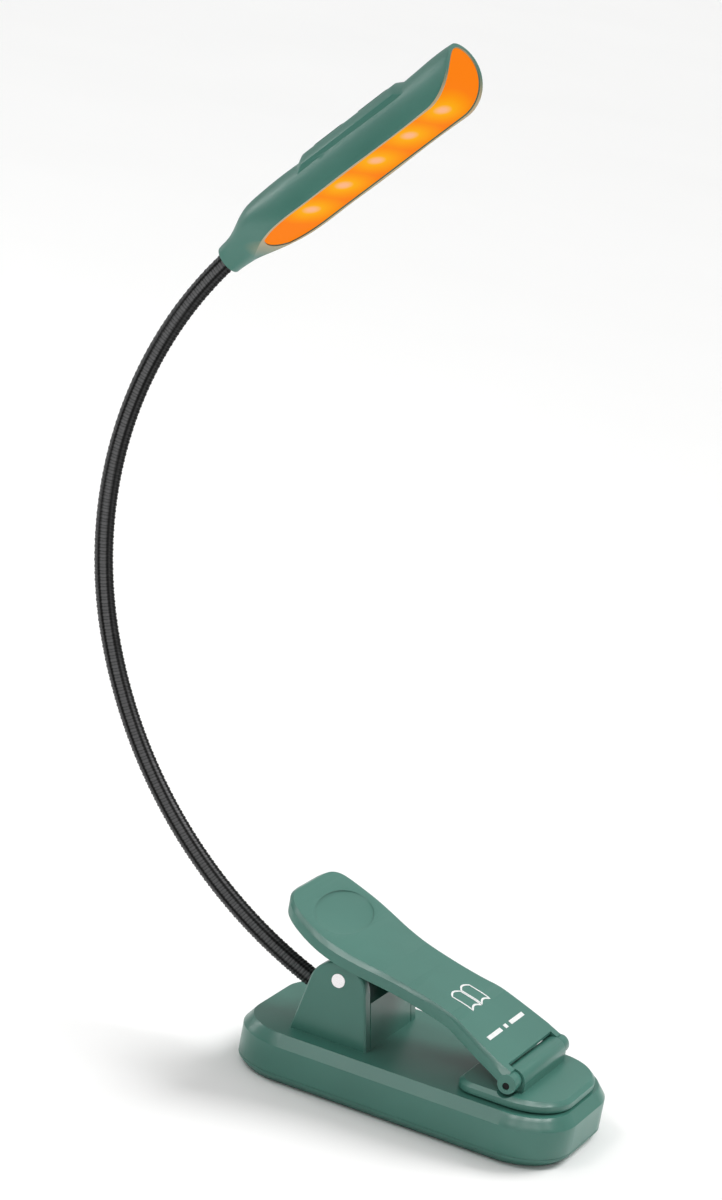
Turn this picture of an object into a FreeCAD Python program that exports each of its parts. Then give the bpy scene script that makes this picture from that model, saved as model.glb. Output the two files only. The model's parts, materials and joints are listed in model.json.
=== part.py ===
import FreeCAD, Part
import math
import os
import Sketcher

# A clip-on reading lamp, in millimetres. The origin is the centre of the base's
# underside, +X points to the jaw, +Z is up and the clip is mirrored about Y = 0.

doc = FreeCAD.newDocument("ReadingLamp")
sheet = doc.addObject("Spreadsheet::Sheet", "Sizes")

SIZES = {
    # base
    "base_length": 75.0, "base_width": 39.0, "base_radius": 12.3,
    "base_seam": 2.3, "base_top": 10.6, "base_wall": 1.6,
    "edge_chamfer": 1.75, "edge_drop": 2.36, "cover_chamfer": 1.4, "hollow_margin": 0.4,
    "foot_rise": 0.3, "foot_length": 56.0, "foot_width": 24.0, "foot_radius": 6.0,
    "screw_x": 31.0, "screw_y": 9.0, "socket_height": 5.6,
    # ears that carry the pivot
    "ear_outside": 13.1, "ear_thickness": 2.9, "ear_round": 6.5, "ear_centre_height": 21.4,
    "ear_centre_x": -16.9, "ear_front_x": -7.9, "ear_back_x": -25.9,
    "block_height": 20.2,
    # clip
    "pivot_x": -16.9, "pivot_height": 23.9, "pivot_radius": 1.5,
    "jaw_pin_x": 23.65, "jaw_pin_height": 14.7, "jaw_pin_radius": 0.75,
    "lever_rim": 2.9, "lever_skin": 1.5, "lever_width": 15.2, "lever_edge": 0.9,
    "lever_chamfer": 1.1, "dish_length": 11.2, "dish_width": 22.6, "dish_depth": 0.8,
    "dish_x": -23.5, "dish_height": 33.45, "dish_lean": 24.4,
    "fork_inside": 11.7, "lug_inside": 8.3, "lug_outside": 9.9,
    "pad_back": 12.8, "pad_front": 35.3, "pad_half_width": 15.7, "pad_low": 10.95,
    "pad_thickness": 2.1, "barrel_radius": 2.8, "facing_thickness": 0.6,
    # gooseneck
    "neck_radius": 2.05, "neck_bore": 1.3, "neck_gap": 0.55, "neck_length": 178.4,
    "neck_lower_bend": 101.9, "neck_upper_bend": 87.4,
    "neck_start_x": -26.0, "neck_start_height": 16.5, "neck_start_rise": 19.2,
    # head, in its own axes: along the head, across it, and up to its back
    "head_length": 66.4, "head_pitch": 46.87, "head_roll": 10.5,
    "head_half_width": 8.0, "head_back": 7.1, "head_face": 3.2, "head_wall": 0.8,
    "collar_radius": 3.1, "head_taper": 20.0, "scoop_length": 9.0,
    "mouth_start": 10.0, "mouth_radius": 8.4, "lens_thickness": 1.0,
    "pad_start": 26.0, "pad_end": 53.0, "pad_rise": 0.9,
    # what is inside
    "battery_length": 40.0, "battery_width": 26.0, "battery_height": 4.6,
}
NECK_SEGMENTS = 12
# how far along the head each button and each light is centred
BUTTONS = {"power_button": 33.5, "colour_button": 45.5}
LED_STATIONS = (22.6, 31.4, 40.2, 49.0, 57.8)

for row, (alias, value) in enumerate(SIZES.items(), start=1):
    sheet.set("A%d" % row, alias)
    sheet.set("B%d" % row, str(value))
    sheet.setAlias("B%d" % row, alias)
doc.recompute()

nodes = []


def cell(alias):
    """The number in a named cell of the sheet."""
    value = getattr(sheet, alias)
    return float(getattr(value, "Value", value))


def bind(obj, **expressions):
    """Bind an object's properties to the sheet's cells: $word stands for a cell."""
    for prop, expression in expressions.items():
        obj.setExpression(prop.replace("__", "."), expression.replace("$", "Sizes."))


def node(obj, label):
    """Name a finished sub-part, which is written to a file of that name."""
    obj.Label = label
    nodes.append(obj)
    return obj


def feature(label, shape, placement=None):
    """A sub-part whose shape is worked out here."""
    obj = doc.addObject("Part::Feature", label)
    obj.Shape = shape
    if placement is not None:
        obj.Placement = placement
    return node(obj, label)


def origin_plane(body, role):
    return [f for f in body.Origin.OriginFeatures if f.Role == role][0]


def plane_sketch(body, name, role="XY_Plane", lift=None):
    """A sketch on one of a body's own origin planes, lifted by an expression."""
    sketch = body.newObject("Sketcher::SketchObject", name)
    sketch.AttachmentSupport = [(origin_plane(body, role), "")]
    sketch.MapMode = "FlatFace"
    if lift is not None:
        bind(sketch, AttachmentOffset__Base__z=lift)
    return sketch


def rounded_rectangle(sketch, length, width, radius, bound=None, centre=(0.0, 0.0)):
    """A rectangle with four rounded corners, centred unless a centre is given."""
    cx, cy = centre
    hx, hy = length / 2, width / 2
    ix, iy = hx - radius, hy - radius
    vec = FreeCAD.Vector
    corners = ((ix, -iy, -90), (ix, iy, 0), (-ix, iy, 90), (-ix, -iy, 180))
    sides = (((-ix, -hy), (ix, -hy)), ((hx, -iy), (hx, iy)), ((ix, hy), (-ix, hy)), ((-hx, iy), (-hx, -iy)))
    for (x0, y0), (x1, y1) in sides:
        sketch.addGeometry(Part.LineSegment(vec(cx + x0, cy + y0, 0), vec(cx + x1, cy + y1, 0)), False)
    for x, y, start in corners:
        circle = Part.Circle(vec(cx + x, cy + y, 0), vec(0, 0, 1), radius)
        arc = Part.ArcOfCircle(circle, math.radians(start), math.radians(start + 90))
        sketch.addGeometry(arc, False)
    con = Sketcher.Constraint
    for side in range(4):
        arc = 4 + side
        sketch.addConstraint(con("Tangent", side, 2, arc, 1))
        sketch.addConstraint(con("Tangent", arc, 2, (side + 1) % 4, 1))
        if side:
            sketch.addConstraint(con("Equal", 4, arc))
    if bound is None:
        sketch.addConstraint(con("Horizontal", 0))
        sketch.addConstraint(con("Vertical", 1))
        return
    sketch.addConstraint(con("Symmetric", 0, 1, 0, 2, -2))
    sketch.addConstraint(con("Symmetric", 1, 1, 1, 2, -1))
    driven = (("length", length, "DistanceX", (3, 1, 1, 1)),
              ("width", width, "DistanceY", (0, 1, 2, 2)),
              ("radius", radius, "Radius", (4,)))
    for key, value, kind, ends in driven:
        index = sketch.addConstraint(con(kind, *ends, value))
        sketch.setExpression("Constraints[%d]" % index, bound[key].replace("$", "Sizes."))


def pad(body, sketch, name, length):
    obj = body.newObject("PartDesign::Pad", name)
    obj.Profile = sketch
    bind(obj, Length=length)
    body.Tip = obj
    return obj


def pocket(body, sketch, name, length):
    """A pocket that cuts upwards from its sketch."""
    obj = body.newObject("PartDesign::Pocket", name)
    obj.Profile = sketch
    obj.Reversed = True
    bind(obj, Length=length)
    body.Tip = obj
    return obj


def new_body(label):
    return node(doc.addObject("PartDesign::Body", label), label)


def cylinder_y(name, x, z, radius, y_low, y_high):
    """A cylinder that lies along Y, bound to the expressions given."""
    obj = doc.addObject("Part::Cylinder", name)
    obj.Placement.Rotation = FreeCAD.Rotation(FreeCAD.Vector(1, 0, 0), -90)
    bind(obj, Radius=radius, Height="(%s) - (%s)" % (y_high, y_low), Placement__Base__x=x,
         Placement__Base__y=y_low, Placement__Base__z=z)
    return obj


def boolean(kind, name, parts):
    """A cut of two objects, or a fuse or common of several."""
    if kind == "Cut":
        obj = doc.addObject("Part::Cut", name)
        obj.Base, obj.Tool = parts
    else:
        obj = doc.addObject("Part::Multi" + kind, name)
        obj.Shapes = parts
    return obj


def profile_solid(points, y_low, y_high, arcs=None):
    """A closed outline in the XZ plane, pushed out from y_low to y_high. An entry of
    arcs gives the point in the middle of the side that ends at that index."""
    arcs = arcs or {}
    edges = []
    count = len(points)
    for i in range(count):
        a, b = points[i - 1], points[i]
        va, vb = FreeCAD.Vector(a[0], y_low, a[1]), FreeCAD.Vector(b[0], y_low, b[1])
        if i in arcs:
            middle = FreeCAD.Vector(arcs[i][0], y_low, arcs[i][1])
            edges.append(Part.Arc(va, middle, vb).toShape())
        else:
            edges.append(Part.LineSegment(va, vb).toShape())
    face = Part.Face(Part.Wire(edges))
    return face.extrude(FreeCAD.Vector(0, y_high - y_low, 0))


# ---------------------------------------------------------------- base

def base_cover():
    """The flat lower cover: its bottom edge is chamfered, and it sits on a rubber foot."""
    body = new_body("base_cover")
    outline = plane_sketch(body, "cover_outline", lift="$foot_rise")
    size = {"length": "$base_length", "width": "$base_width", "radius": "$base_radius"}
    rounded_rectangle(outline, cell("base_length"), cell("base_width"), cell("base_radius"), size)
    plate = pad(body, outline, "cover_plate", "$base_seam - $foot_rise - 0.05")
    doc.recompute()
    low_edges = [i for i, e in enumerate(plate.Shape.Edges, 1) if e.BoundBox.ZMax < cell("foot_rise") + 1e-4]
    bevel = body.newObject("PartDesign::Chamfer", "cover_bevel")
    bevel.Base = (plate, ["Edge%d" % i for i in low_edges])
    bind(bevel, Size="$cover_chamfer")
    body.Tip = bevel
    recess = plane_sketch(body, "foot_recess_outline", lift="$foot_rise")
    play = 0.2
    rounded_rectangle(recess, cell("foot_length") + 2 * play, cell("foot_width") + 2 * play,
                      cell("foot_radius") + play)
    pocket(body, recess, "foot_recess", "0.5")
    for name, radius, depth in (("screw_holes", 1.0, "3"), ("screw_head_seats", 1.75, "1")):
        circles = plane_sketch(body, name + "_outline", lift="$foot_rise")
        for x, y in screw_places():
            circle = Part.Circle(FreeCAD.Vector(x, y, 0), FreeCAD.Vector(0, 0, 1), radius)
            circles.addGeometry(circle, False)
        pocket(body, circles, name, depth)


def screw_places():
    return [(sx * cell("screw_x"), sy * cell("screw_y")) for sx in (-1, 1) for sy in (-1, 1)]


def foot_pad():
    """The rubber foot, proud of the cover, that the lamp stands on."""
    body = new_body("foot_pad")
    outline = plane_sketch(body, "foot_outline")
    size = {"length": "$foot_length", "width": "$foot_width", "radius": "$foot_radius"}
    rounded_rectangle(outline, cell("foot_length"), cell("foot_width"), cell("foot_radius"), size)
    pad(body, outline, "foot", "$foot_rise + 0.45")


def cover_screws():
    """Four small countersunk screws through the cover into the shell's posts."""
    solids = []
    for x, y in screw_places():
        head = Part.makeCylinder(1.65, 0.8, FreeCAD.Vector(x, y, 0.35))
        slot = Part.makeBox(2.2, 0.4, 0.4, FreeCAD.Vector(x - 1.1, y - 0.2, 0.34))
        cross = Part.makeBox(0.4, 2.2, 0.4, FreeCAD.Vector(x - 0.2, y - 1.1, 0.34))
        shank = Part.makeCylinder(0.8, 5.0, FreeCAD.Vector(x, y, 1.15))
        solids.append(head.fuse(shank).cut(slot).cut(cross).removeSplitter())
    feature("cover_screws", Part.makeCompound(solids))


def ear_outline():
    """The side view of an ear: slanted front and back edges and a round top."""
    cx, cz = cell("ear_centre_x"), cell("ear_centre_height")
    radius = cell("ear_round")
    low = cell("base_top") - 1.0
    front, back = cell("ear_front_x"), cell("ear_back_x")
    points = [(back, low), (front, low)]
    for foot, side in ((front, 1), (back, -1)):
        dx, dz = foot - cx, low - cz
        reach = math.hypot(dx, dz)
        turn = math.acos(radius / reach)
        angle = math.atan2(dz, dx) + side * turn
        points.append((cx + radius * math.cos(angle), cz + radius * math.sin(angle)))
    return points, (cx, cz + radius)


def ear_solid(y_low, y_high):
    points, crown = ear_outline()
    return profile_solid(points, y_low, y_high, arcs={3: crown})


def base_shell():
    """The upper housing: a chamfered box with two ears and the neck's block between."""
    length, width, radius = cell("base_length"), cell("base_width"), cell("base_radius")
    seam, top, wall = cell("base_seam"), cell("base_top"), cell("base_wall")
    body = doc.addObject("PartDesign::Body", "shell_box")
    size = {"length": "$base_length", "width": "$base_width", "radius": "$base_radius"}
    outline = plane_sketch(body, "shell_outline", lift="$base_seam")
    rounded_rectangle(outline, length, width, radius, size)
    block = pad(body, outline, "shell_block", "$base_top - $base_seam")
    doc.recompute()
    top_face = [i for i, f in enumerate(block.Shape.Faces, 1) if f.BoundBox.ZMin > top - 1e-4]
    bevel = body.newObject("PartDesign::Chamfer", "shell_bevel")
    bevel.Base = (block, ["Face%d" % i for i in top_face])
    bevel.ChamferType = "Two distances"
    bind(bevel, Size="$edge_drop", Size2="$edge_chamfer")
    body.Tip = bevel
    hollow = plane_sketch(body, "shell_hollow_outline", lift="$base_seam")
    inner = {"length": "$base_length - 2 * $base_wall - $hollow_margin",
             "width": "$base_width - 2 * $base_wall - $hollow_margin",
             "radius": "$base_radius - $base_wall"}
    margin = 2 * wall + cell("hollow_margin")
    rounded_rectangle(hollow, length - margin, width - margin, radius - wall, inner)
    pocket(body, hollow, "shell_hollow", "$base_top - $base_seam - 1.7")
    doc.recompute()

    outside, thickness = cell("ear_outside"), cell("ear_thickness")
    shape = body.Shape
    for side in (-1, 1):
        low = -outside if side < 0 else outside - thickness
        ear = ear_solid(low, low + thickness)
        shape = shape.fuse(soften_ear(ear))
    middle = ear_solid(-(outside - thickness), outside - thickness)
    limit = Part.makeBox(60, 60, cell("block_height"), FreeCAD.Vector(-45, -30, 0))
    shape = shape.fuse(middle.common(limit))
    posts = [Part.makeCylinder(2.2, top - seam - 1.2, FreeCAD.Vector(x, y, seam + 0.1))
             for x, y in screw_places()]
    shape = shape.fuse(posts)
    drills = [Part.makeCylinder(0.85, 5.0, FreeCAD.Vector(x, y, seam - 0.5)) for x, y in screw_places()]
    pivot = Part.makeCylinder(cell("pivot_radius") + 0.03, 40,
                              FreeCAD.Vector(cell("pivot_x"), -20, cell("pivot_height")),
                              FreeCAD.Vector(0, 1, 0))
    root, direction = neck_place(0.0)
    neck_hole = Part.makeCylinder(2.68, 9.0, root - direction * 8.0, direction)
    wire_hole = Part.makeCylinder(1.2, 9.0, root - direction * 16.0, direction)
    socket_hole = stadium(2.95, 1.65, -39.0, -32.0)
    lamp_hole = Part.makeCylinder(0.8, 4.0, FreeCAD.Vector(-35.0, 6.2, 6.0), FreeCAD.Vector(-1, 0, 0))
    shape = shape.cut(drills + [pivot, neck_hole, wire_hole, socket_hole, lamp_hole])
    feature("base_shell", shape.removeSplitter())
    body.Visibility = False


def soften_ear(ear):
    """Round off an ear's long edges a little."""
    edges = [e for e in ear.Edges if abs(e.BoundBox.YMax - e.BoundBox.YMin) < 1e-4
             and e.BoundBox.ZMax > cell("base_top") + 1]
    return ear.makeChamfer(0.35, edges)


def stadium(half, radius, x_low, x_high):
    """A bar along X at the charging port's height, flat above and below and round at
    its sides: half is from the middle to each side's centre."""
    reach, height = x_high - x_low, cell("socket_height")
    ends = [Part.makeCylinder(radius, reach, FreeCAD.Vector(x_low, y, height), FreeCAD.Vector(1, 0, 0))
            for y in (-half, half)]
    middle = Part.makeBox(reach, 2 * half, 2 * radius, FreeCAD.Vector(x_low, -half, height - radius))
    return middle.fuse(ends).removeSplitter()


def usb_socket():
    """A metal charging socket, open to the back, with its contact tongue."""
    can = stadium(2.9, 1.6, -37.2, -30.2).cut(stadium(2.9, 1.3, -37.6, -31.2))
    tongue = Part.makeBox(5.0, 5.4, 0.7, FreeCAD.Vector(-36.2, -2.7, cell("socket_height") - 0.35))
    feature("usb_socket", can.fuse(tongue).removeSplitter())


def charge_board():
    """The charging board under the socket, with its parts on top."""
    body = new_body("charge_board")
    outline = plane_sketch(body, "board_outline", lift="3.0")
    rounded_rectangle(outline, 9.0, 12.6, 0.6, centre=(-28.6, 0.0))
    pad(body, outline, "board", "0.9")
    places = ((-28.5, -5.8, 3.0, 3.0, 0.9), (-28.5, 3.8, 2.0, 1.2, 0.6), (-28.5, 1.6, 2.0, 1.2, 0.6))
    chips = [Part.makeBox(long, wide, high, FreeCAD.Vector(x, y, 3.95))
             for x, y, long, wide, high in places]
    feature("board_chips", Part.makeCompound(chips))


def charge_light():
    """The clear pipe that shows the charging state beside the socket."""
    obj = doc.addObject("Part::Cylinder", "charge_light")
    obj.Radius, obj.Height = 0.72, 3.9
    backwards = FreeCAD.Rotation(FreeCAD.Vector(0, 1, 0), -90)
    obj.Placement = FreeCAD.Placement(FreeCAD.Vector(-33.5, 6.2, 6.0), backwards)
    node(obj, "charge_light")


def battery():
    """The flat lithium cell that fills the front of the base."""
    body = new_body("battery")
    outline = plane_sketch(body, "battery_outline", lift="2.8")
    rounded_rectangle(outline, cell("battery_length"), cell("battery_width"), 1.5, centre=(4.0, 0.0))
    pad(body, outline, "cell_pouch", "$battery_height")


# ---------------------------------------------------------------- clip

def pivot_pin():
    """The main pin through both ears and the lever's lugs."""
    node(cylinder_y("pivot_pin", "$pivot_x", "$pivot_height", "$pivot_radius",
                    "-$ear_outside - 0.1", "$ear_outside + 0.1"), "pivot_pin")


def jaw_pin():
    """The thin pin through the lever's fork and the jaw pad's barrel."""
    node(cylinder_y("jaw_pin", "$jaw_pin_x", "$jaw_pin_height", "$jaw_pin_radius",
                    "-14.6", "14.6"), "jaw_pin")


def lever_line(depth):
    """The lever's side view: a straight front, a flat middle and a tail that sweeps
    up, at a depth under its top. Gives points and arc middles from front to back."""
    front = (25.45, 16.75)
    knee = (9.2, 24.15)
    rise, ease, sweep = math.radians(24.5), math.radians(13.2), math.radians(20.5)
    tail_radius = 82.0
    normal_front = (math.sin(rise), math.cos(rise))
    normal_mid = (math.sin(ease), math.cos(ease))
    blend_radius = 14.0

    def shifted(point, normal):
        return (point[0] - normal[0] * depth, point[1] - normal[1] * depth)

    # the knee is rounded by an arc of blend_radius, tangent to both runs
    half = (rise - ease) / 2
    cut = blend_radius * math.tan(half)
    before = (knee[0] + cut * math.cos(rise), knee[1] - cut * math.sin(rise))
    after = (knee[0] - cut * math.cos(ease), knee[1] + cut * math.sin(ease))
    centre = (before[0] - blend_radius * normal_front[0], before[1] - blend_radius * normal_front[1])
    mean = (rise + ease) / 2
    radius = blend_radius - depth
    bend = (centre[0] + radius * math.sin(mean), centre[1] + radius * math.cos(mean))
    run = 16.6
    tail = (after[0] - run * math.cos(ease), after[1] + run * math.sin(ease))
    hub = (tail[0] + tail_radius * normal_mid[0], tail[1] + tail_radius * normal_mid[1])
    radius = tail_radius + depth

    def on_tail(angle):
        return (hub[0] - radius * math.sin(angle), hub[1] - radius * math.cos(angle))

    points = [shifted(front, normal_front), shifted(before, normal_front), shifted(after, normal_mid),
              on_tail(ease), on_tail(ease + sweep)]
    return points, {2: bend, 4: on_tail(ease + sweep / 2)}


def lever_slab(top_depth, low_depth, y_low, y_high):
    """The lever's thickness between two depths under its top."""
    upper, upper_arcs = lever_line(top_depth)
    lower, lower_arcs = lever_line(low_depth)
    points = upper + lower[::-1]
    count = len(points)
    arcs = dict(upper_arcs)
    for index, middle in lower_arcs.items():
        arcs[count - index] = middle
    return profile_solid(points, y_low, y_high, arcs)


def lever_plan(inset):
    """The lever seen from above: a wide tail, a waist and a wide fork."""
    widest = cell("lever_width") - inset
    fork = 14.9 - inset
    waist = 11.5 - inset
    back = -32.9 + inset
    side = [(27.0, fork), (22.0, fork), (12.5, 13.1 - inset), (7.0, waist + 0.35), (0.0, waist),
            (-6.0, waist + 0.45), (-13.0, 13.6 - inset), (-20.5, widest), (-27.0, 14.3 - inset),
            (-30.6 + inset * 0.6, 12.4 - inset * 0.8), (back + 0.5, 8.9 - inset * 0.5),
            (back, 5.0 - inset * 0.3)]
    curve = Part.BSplineCurve()
    curve.interpolate([FreeCAD.Vector(x, y, 0) for x, y in side[1:]],
                      InitialTangent=FreeCAD.Vector(-6, -1.2, 0), FinalTangent=FreeCAD.Vector(-0.3, -4, 0))
    mirror = FreeCAD.Matrix()
    mirror.A22 = -1
    near_edge = curve.toShape().transformGeometry(mirror)
    vec = FreeCAD.Vector
    edges = [Part.LineSegment(vec(27, fork, 0), vec(22, fork, 0)).toShape(), curve.toShape(),
             Part.LineSegment(vec(side[-1][0], side[-1][1], 0), vec(side[-1][0], -side[-1][1], 0)).toShape(),
             near_edge, Part.LineSegment(vec(22, -fork, 0), vec(27, -fork, 0)).toShape(),
             Part.LineSegment(vec(27, -fork, 0), vec(27, fork, 0)).toShape()]
    face = Part.Face(Part.Wire(Part.__sortEdges__(edges)))
    return face.extrude(vec(0, 0, 60))


def lever():
    """The upper jaw's arm: a rimmed plate with a thumb dish, a slot for the jaw pad's
    barrel, two fork arms and two lugs on the pivot pin."""
    skin, rim, edge = cell("lever_skin"), cell("lever_rim"), cell("lever_edge")
    shape = lever_slab(0.0, rim, -20, 20).common(lever_plan(0.0))
    shape = shape.makeChamfer(cell("lever_chamfer"), top_outline(shape))
    hollow = lever_slab(skin, rim + 4, -20, 20).common(lever_plan(edge))
    hollow = hollow.common(Part.makeBox(36, 40, 60, FreeCAD.Vector(-31.2, -20, 0)))
    shape = shape.cut(hollow)

    pin_x, pin_z = cell("jaw_pin_x"), cell("jaw_pin_height")
    hub = FreeCAD.Vector(pin_x + 0.1, -14.9, pin_z + 0.4)
    inside = cell("fork_inside")
    slot = Part.makeBox(12, 2 * inside, 20, FreeCAD.Vector(22.2, -inside, 8))
    barrel_room = Part.makeCylinder(cell("barrel_radius") + 0.4, 2 * inside,
                                    FreeCAD.Vector(pin_x, -inside, pin_z), FreeCAD.Vector(0, 1, 0))
    shape = shape.cut([slot, barrel_room])
    nose = Part.makeBox(8, 40, 14, FreeCAD.Vector(hub.x, -20, 6))
    shape = shape.cut(nose)
    for y in (-14.9, inside):
        centre = FreeCAD.Vector(hub.x, y, hub.z)
        shape = shape.fuse(Part.makeCylinder(2.03, 14.9 - inside, centre, FreeCAD.Vector(0, 1, 0)))

    pivot_x, pivot_z = cell("pivot_x"), cell("pivot_height")
    under = lever_slab(-10, 1.0, -20, 20)
    for side in (-1, 1):
        y = cell("lug_inside") if side > 0 else -cell("lug_outside")
        width = cell("lug_outside") - cell("lug_inside")
        disc = Part.makeCylinder(3.1, width, FreeCAD.Vector(pivot_x, y, pivot_z), FreeCAD.Vector(0, 1, 0))
        web = profile_solid([(pivot_x - 3.0, pivot_z + 0.6), (pivot_x + 3.0, pivot_z - 0.6),
                             (pivot_x + 7.0, pivot_z + 7.0), (pivot_x - 5.5, pivot_z + 9.0)], y, y + width)
        shape = shape.fuse(disc.fuse(web).cut(under))

    shape = shape.cut([thumb_dish()] + ear_rooms())
    drills = []
    for x, z, radius in ((pivot_x, pivot_z, cell("pivot_radius") + 0.05),
                         (pin_x, pin_z, cell("jaw_pin_radius") + 0.03)):
        drills.append(Part.makeCylinder(radius, 40, FreeCAD.Vector(x, -20, z), FreeCAD.Vector(0, 1, 0)))
    shape = shape.cut(drills)
    feature("lever", shape.removeSplitter())


def ear_rooms():
    """The room cut in the lever's rim over each ear, so that it turns freely."""
    low, reach = cell("lug_outside") + 0.1, cell("ear_thickness") + 0.55
    return [Part.makeCylinder(5.0, reach, FreeCAD.Vector(cell("pivot_x"), y, cell("pivot_height")),
                              FreeCAD.Vector(0, 1, 0)) for y in (low, -low - reach)]


def top_outline(shape):
    """The edges round a plate's upper face, leaving out its straight front end."""
    def facing(face):
        low_u, high_u, low_v, high_v = face.ParameterRange
        return face.normalAt((low_u + high_u) / 2, (low_v + high_v) / 2).z

    upper = [face for face in shape.Faces if facing(face) > 0.7]
    sides = [face for face in shape.Faces if abs(facing(face)) < 0.2]
    edges = []
    for edge in shape.Edges:
        on_top = any(edge.isSame(other) for face in upper for other in face.Edges)
        on_side = any(edge.isSame(other) for face in sides for other in face.Edges)
        if on_top and on_side:
            edges.append(edge)
    return edges


def thumb_dish():
    """The oval hollow for the thumb, across the lever's tail."""
    ball = Part.makeSphere(1.0)
    spread = FreeCAD.Matrix()
    spread.scale(cell("dish_length") / 2, cell("dish_width") / 2, cell("dish_depth"))
    oval_ball = ball.transformGeometry(spread)
    lean = FreeCAD.Rotation(FreeCAD.Vector(0, 1, 0), cell("dish_lean"))
    middle = FreeCAD.Vector(cell("dish_x"), 0, cell("dish_height"))
    oval_ball.Placement = FreeCAD.Placement(middle, lean)
    return oval_ball


def clip_spring():
    """The torsion spring round the pivot pin. Both legs point back: one lies over the
    neck's block and the other presses up under the lever's tail."""
    wire, mean, turns, pitch = 0.45, 2.45, 7, 1.15
    vec = FreeCAD.Vector
    pivot = vec(cell("pivot_x"), 0, cell("pivot_height"))
    reach = (turns - 1) * pitch
    rings = [Part.makeTorus(mean, wire, pivot + vec(0, k * pitch - reach / 2, 0), vec(0, 1, 0))
             for k in range(turns)]
    slope = math.radians(33)
    low_end = vec(pivot.x, -reach / 2, pivot.z - mean)
    leg_low = Part.makeCylinder(wire - 0.02, 6.5, low_end, vec(-1, 0, 0))
    high_end = vec(pivot.x + mean * math.sin(slope), reach / 2, pivot.z + mean * math.cos(slope))
    leg_high = Part.makeCylinder(wire - 0.02, 9.5, high_end, vec(-math.cos(slope), 0, math.sin(slope)))
    tie = Part.makeBox(0.5, reach, 0.5, FreeCAD.Vector(pivot.x + mean - 0.25, -reach / 2, pivot.z - 0.25))
    shape = rings[0].fuse(rings[1:] + [tie, leg_low, leg_high])
    feature("clip_spring", shape)


def jaw_pad():
    """The tilting jaw: a rounded plate with a hinge barrel between the fork arms."""
    low, thick = cell("pad_low"), cell("pad_thickness")
    half = cell("pad_half_width")
    vec = FreeCAD.Vector
    back, front = cell("pad_back"), cell("pad_front")
    corner_back, corner_front = 4.0, 10.4

    def outline(inset):
        b, f, w = back + inset, front - inset, half - inset
        rb, rf = corner_back - inset, corner_front - inset
        k = math.sqrt(0.5)
        kb, kf = rb * (1 - k), rf * (1 - k)
        edges = [Part.LineSegment(vec(b, -w + rb, 0), vec(b, w - rb, 0)),
                 Part.Arc(vec(b, w - rb, 0), vec(b + kb, w - kb, 0), vec(b + rb, w, 0)),
                 Part.LineSegment(vec(b + rb, w, 0), vec(f - rf, w, 0)),
                 Part.Arc(vec(f - rf, w, 0), vec(f - kf, w - kf, 0), vec(f, w - rf, 0)),
                 Part.LineSegment(vec(f, w - rf, 0), vec(f, -w + rf, 0)),
                 Part.Arc(vec(f, -w + rf, 0), vec(f - kf, -w + kf, 0), vec(f - rf, -w, 0)),
                 Part.LineSegment(vec(f - rf, -w, 0), vec(b + rb, -w, 0)),
                 Part.Arc(vec(b + rb, -w, 0), vec(b + kb, -w + kb, 0), vec(b, -w + rb, 0))]
        return Part.Face(Part.Wire([edge.toShape() for edge in edges]))

    plate = outline(0).extrude(vec(0, 0, thick))
    plate.translate(vec(0, 0, low))
    top_edges = [e for e in plate.Edges if e.BoundBox.ZMin > low + thick - 1e-4]
    plate = plate.makeChamfer(0.8, top_edges)
    pin_x, pin_z = cell("jaw_pin_x"), cell("jaw_pin_height")
    inside = cell("fork_inside") - 0.3
    radius = cell("barrel_radius")
    barrel = Part.makeCylinder(radius, 2 * inside, vec(pin_x, -inside, pin_z), vec(0, 1, 0))
    web = Part.makeBox(2 * radius, 2 * inside, pin_z - low - 0.4, vec(pin_x - radius, -inside, low + 0.4))
    shape = plate.fuse([barrel, web])
    reliefs = [Part.makeCylinder(2.35, 8, vec(pin_x, y, pin_z), vec(0, 1, 0)) for y in (-inside - 8, inside)]
    recess = outline(1.4).extrude(vec(0, 0, 0.5))
    recess.translate(vec(0, 0, low))
    bore = Part.makeCylinder(cell("jaw_pin_radius") + 0.05, 40, vec(pin_x, -20, pin_z), vec(0, 1, 0))
    shape = shape.cut(reliefs + [recess, bore])
    feature("jaw_pad", shape.removeSplitter())
    facing = outline(1.5).extrude(vec(0, 0, cell("facing_thickness")))
    facing.translate(vec(0, 0, low + 0.45 - cell("facing_thickness")))
    feature("jaw_facing", facing)


# ---------------------------------------------------------------- gooseneck

def neck_bends():
    """The neck's two arcs, lower and upper, each half its length. For each: where it
    starts, the heading there from +X, its radius and its centre."""
    start = FreeCAD.Vector(cell("neck_start_x"), 0, cell("neck_start_height"))
    heading = math.radians(180 - cell("neck_start_rise"))
    bends = []
    for radius in (cell("neck_lower_bend"), cell("neck_upper_bend")):
        centre = start + FreeCAD.Vector(math.sin(heading), 0, -math.cos(heading)) * radius
        bends.append((start, heading, radius, centre))
        heading -= cell("neck_length") / 2 / radius
        start = centre - FreeCAD.Vector(math.sin(heading), 0, -math.cos(heading)) * radius
    return bends


def neck_place(along):
    """The point on the neck's centre line at a distance along it, and the way it runs."""
    half = cell("neck_length") / 2
    lower, upper = neck_bends()
    bend, rest = (lower, along) if along <= half else (upper, along - half)
    heading = bend[1] - rest / bend[2]
    point = bend[3] - FreeCAD.Vector(math.sin(heading), 0, -math.cos(heading)) * bend[2]
    return point, FreeCAD.Vector(math.cos(heading), 0, math.sin(heading))


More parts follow.
